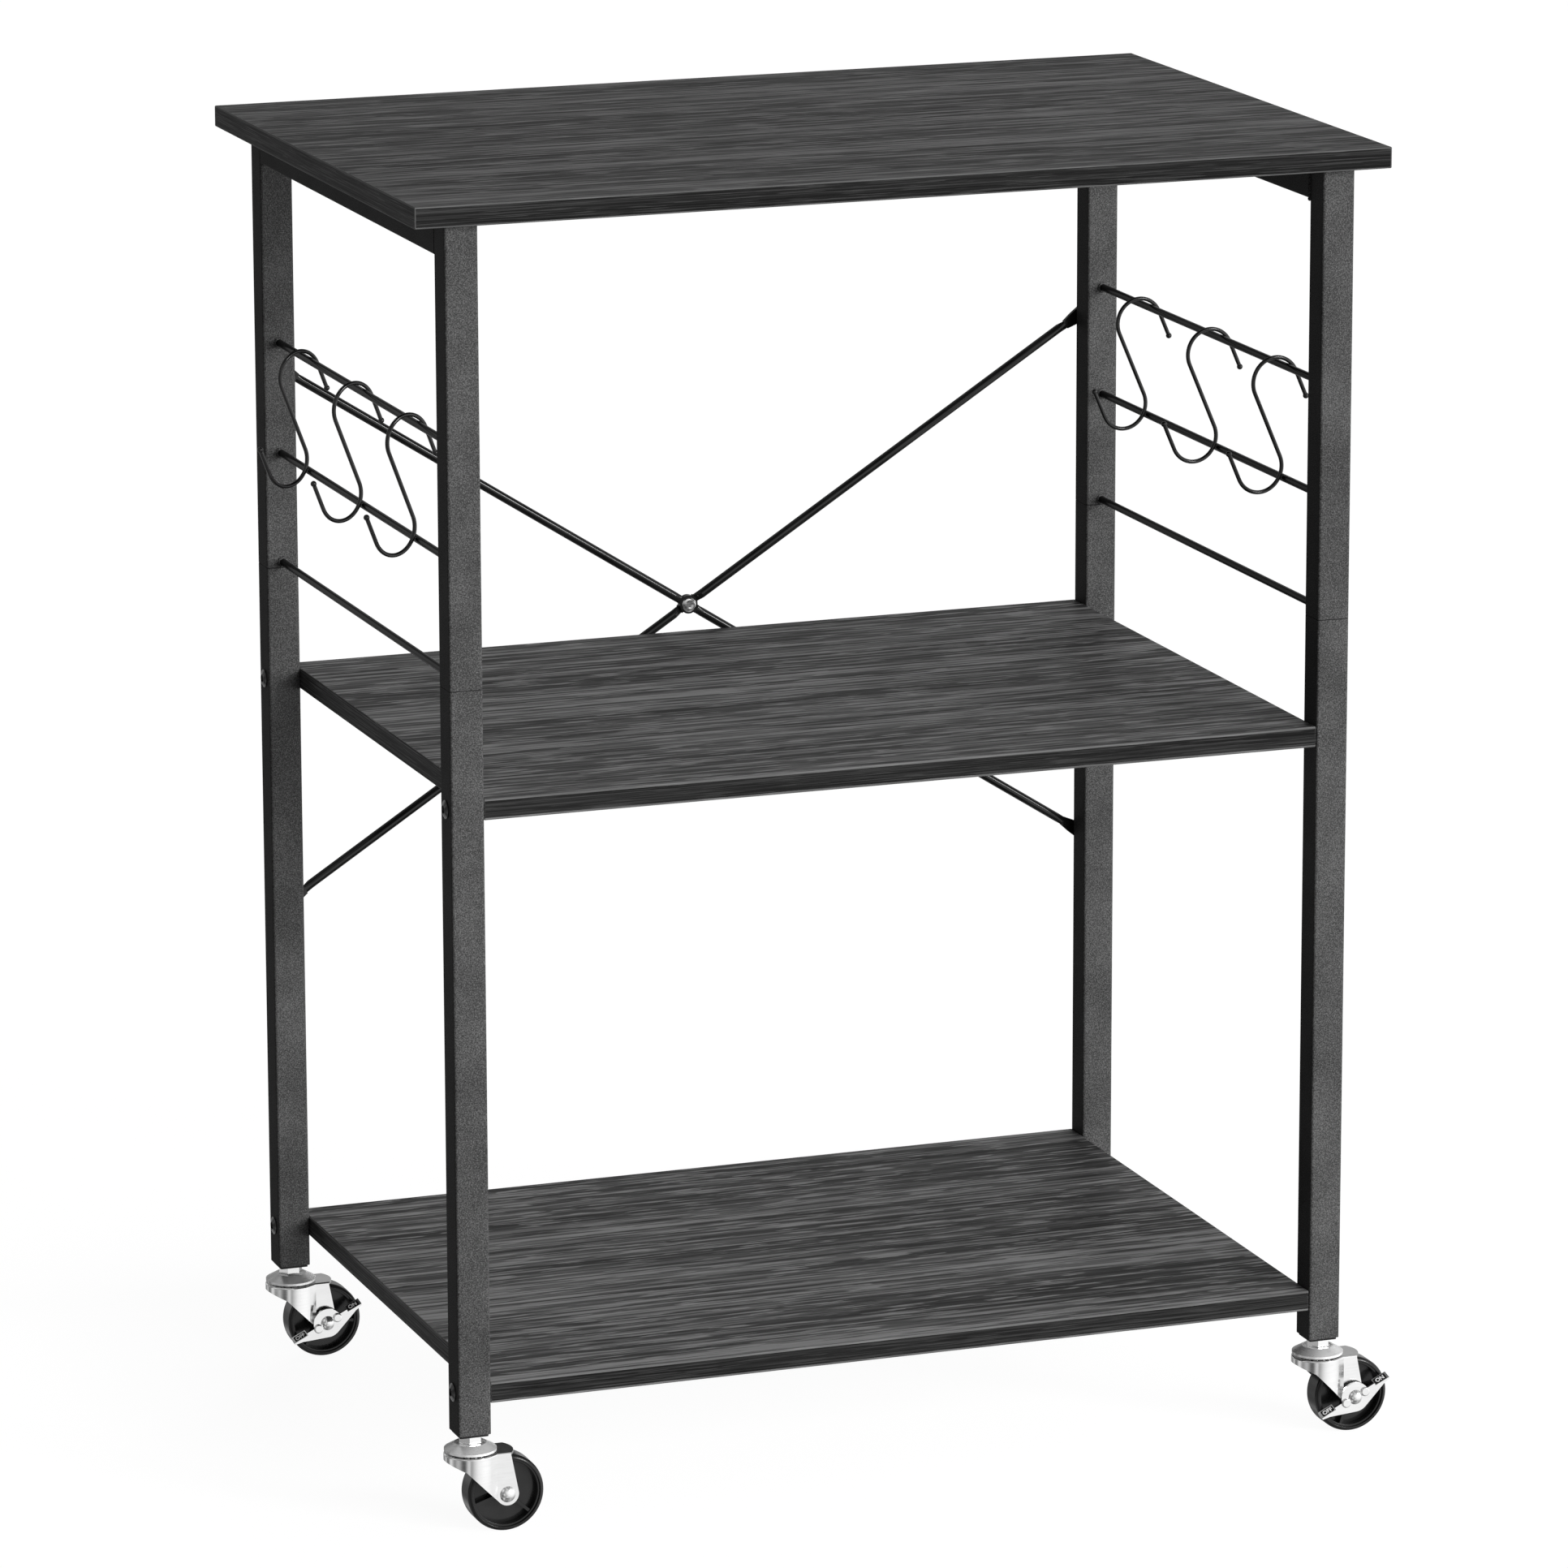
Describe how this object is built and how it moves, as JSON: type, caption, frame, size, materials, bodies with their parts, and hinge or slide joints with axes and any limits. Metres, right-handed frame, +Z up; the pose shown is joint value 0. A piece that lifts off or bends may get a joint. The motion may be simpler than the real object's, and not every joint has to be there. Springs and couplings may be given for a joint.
{
  "type": "serving cart",
  "caption": "Rolling serving cart with open wood-grain shelves in a black square-tube frame, side rods with S-hooks, a rear cross brace and braked swivel casters.",
  "frame": {"origin": "on the floor under the middle of the cart", "axes": "+Z up, +X to the right as seen from the front, +Y to the rear with the cross brace"},
  "size_m": [0.6197, 0.4026, 0.7895],
  "materials": {
    "laminate": "charcoal wood-grain laminate",
    "frame_black": "fine textured black powder coat",
    "rod_black": "gloss black",
    "fastener_black": "black oxide",
    "bright_steel": "bright plated",
    "plain_steel": "plain",
    "wheel_black": "moulded gloss black",
    "plug_black": "moulded matte black"
  },
  "bodies": {
    "frame": {"top_board": "laminate", "middle_shelf": "laminate", "bottom_shelf": "laminate", "front_left_upper_post": "frame_black", "front_left_lower_post": "frame_black", "front_right_upper_post": "frame_black", "front_right_lower_post": "frame_black", "rear_left_upper_post": "frame_black", "rear_left_lower_post": "frame_black", "rear_right_upper_post": "frame_black", "rear_right_lower_post": "frame_black", "left_top_rail": "frame_black", "right_top_rail": "frame_black", "left_side_rods": "rod_black", "right_side_rods": "rod_black", "falling_brace": "rod_black", "rising_brace": "rod_black", "shelf_bolts": "fastener_black", "brace_end_screws": "fastener_black", "brace_bolt": "bright_steel", "brace_nut": "bright_steel", "front_left_stem": "bright_steel", "front_left_raceway": "bright_steel", "front_right_stem": "bright_steel", "front_right_raceway": "bright_steel", "rear_left_stem": "bright_steel", "rear_left_raceway": "bright_steel", "rear_right_stem": "bright_steel", "rear_right_raceway": "bright_steel", "post_couplers": "plain_steel", "shelf_inserts": "plain_steel", "top_board_screws": "plain_steel", "caster_plugs": "plug_black"},
    "front_left_swivel": {"front_left_fork": "bright_steel", "front_left_axle": "bright_steel", "front_left_ball_race": "plain_steel"},
    "front_left_rolling_wheel": {"front_left_wheel": "wheel_black"},
    "front_right_swivel": {"front_right_fork": "bright_steel", "front_right_axle": "bright_steel", "front_right_ball_race": "plain_steel"},
    "front_right_rolling_wheel": {"front_right_wheel": "wheel_black"},
    "front_right_brake": {"front_right_brake_lever": "bright_steel"},
    "rear_left_swivel": {"rear_left_fork": "bright_steel", "rear_left_axle": "bright_steel", "rear_left_ball_race": "plain_steel"},
    "rear_left_rolling_wheel": {"rear_left_wheel": "wheel_black"},
    "rear_left_brake": {"rear_left_brake_lever": "bright_steel"},
    "rear_right_swivel": {"rear_right_fork": "bright_steel", "rear_right_axle": "bright_steel", "rear_right_ball_race": "plain_steel"},
    "rear_right_rolling_wheel": {"rear_right_wheel": "wheel_black"},
    "left_rear_s_hook": {"left_rear_hook": "rod_black"},
    "left_middle_s_hook": {"left_middle_hook": "rod_black"},
    "left_front_s_hook": {"left_front_hook": "rod_black"},
    "right_rear_s_hook": {"right_rear_hook": "rod_black"},
    "right_middle_s_hook": {"right_middle_hook": "rod_black"},
    "right_front_s_hook": {"right_front_hook": "rod_black"}
  },
  "joints": [
    {"name": "front_left_swivel_turn", "type": "hinge", "parent": "frame", "child": "front_left_swivel", "pos_m": [-0.27, -0.182, 0.05], "axis": [0, 0, 1], "continuous": true},
    {"name": "front_left_wheel_spin", "type": "hinge", "parent": "front_left_swivel", "child": "front_left_rolling_wheel", "pos_m": [-0.2505, -0.182, 0.0233], "axis": [0, 1, 0], "continuous": true},
    {"name": "front_right_swivel_turn", "type": "hinge", "parent": "frame", "child": "front_right_swivel", "pos_m": [0.27, -0.182, 0.05], "axis": [0, 0, 1], "continuous": true},
    {"name": "front_right_wheel_spin", "type": "hinge", "parent": "front_right_swivel", "child": "front_right_rolling_wheel", "pos_m": [0.2895, -0.182, 0.0233], "axis": [0, 1, 0], "continuous": true},
    {"name": "front_right_brake_rock", "type": "hinge", "parent": "front_right_swivel", "child": "front_right_brake", "pos_m": [0.2895, -0.182, 0.0233], "axis": [0, 1, 0], "range_deg": [0, 18]},
    {"name": "rear_left_swivel_turn", "type": "hinge", "parent": "frame", "child": "rear_left_swivel", "pos_m": [-0.27, 0.182, 0.05], "axis": [0, 0, 1], "continuous": true},
    {"name": "rear_left_wheel_spin", "type": "hinge", "parent": "rear_left_swivel", "child": "rear_left_rolling_wheel", "pos_m": [-0.2505, 0.182, 0.0233], "axis": [0, 1, 0], "continuous": true},
    {"name": "rear_left_brake_rock", "type": "hinge", "parent": "rear_left_swivel", "child": "rear_left_brake", "pos_m": [-0.2505, 0.182, 0.0233], "axis": [0, 1, 0], "range_deg": [0, 18]},
    {"name": "rear_right_swivel_turn", "type": "hinge", "parent": "frame", "child": "rear_right_swivel", "pos_m": [0.27, 0.182, 0.05], "axis": [0, 0, 1], "continuous": true},
    {"name": "rear_right_wheel_spin", "type": "hinge", "parent": "rear_right_swivel", "child": "rear_right_rolling_wheel", "pos_m": [0.2895, 0.182, 0.0233], "axis": [0, 1, 0], "continuous": true},
    {"name": "left_rear_hook_swing", "type": "hinge", "parent": "frame", "child": "left_rear_s_hook", "pos_m": [-0.27, 0.11146, 0.6464], "axis": [0, 1, 0], "range_deg": [0, 75]},
    {"name": "left_middle_hook_swing", "type": "hinge", "parent": "frame", "child": "left_middle_s_hook", "pos_m": [-0.27, 0.00172, 0.6464], "axis": [0, 1, 0], "range_deg": [0, 75]},
    {"name": "left_front_hook_swing", "type": "hinge", "parent": "frame", "child": "left_front_s_hook", "pos_m": [-0.27, -0.10303, 0.6464], "axis": [0, 1, 0], "range_deg": [0, 75]},
    {"name": "right_rear_hook_swing", "type": "hinge", "parent": "frame", "child": "right_rear_s_hook", "pos_m": [0.27, 0.09598, 0.6464], "axis": [0, 1, 0], "range_deg": [0, 75]},
    {"name": "right_middle_hook_swing", "type": "hinge", "parent": "frame", "child": "right_middle_s_hook", "pos_m": [0.27, -0.01617, 0.6464], "axis": [0, 1, 0], "range_deg": [0, 75]},
    {"name": "right_front_hook_swing", "type": "hinge", "parent": "frame", "child": "right_front_s_hook", "pos_m": [0.27, -0.11662, 0.6464], "axis": [0, 1, 0], "range_deg": [0, 75]}
  ]
}
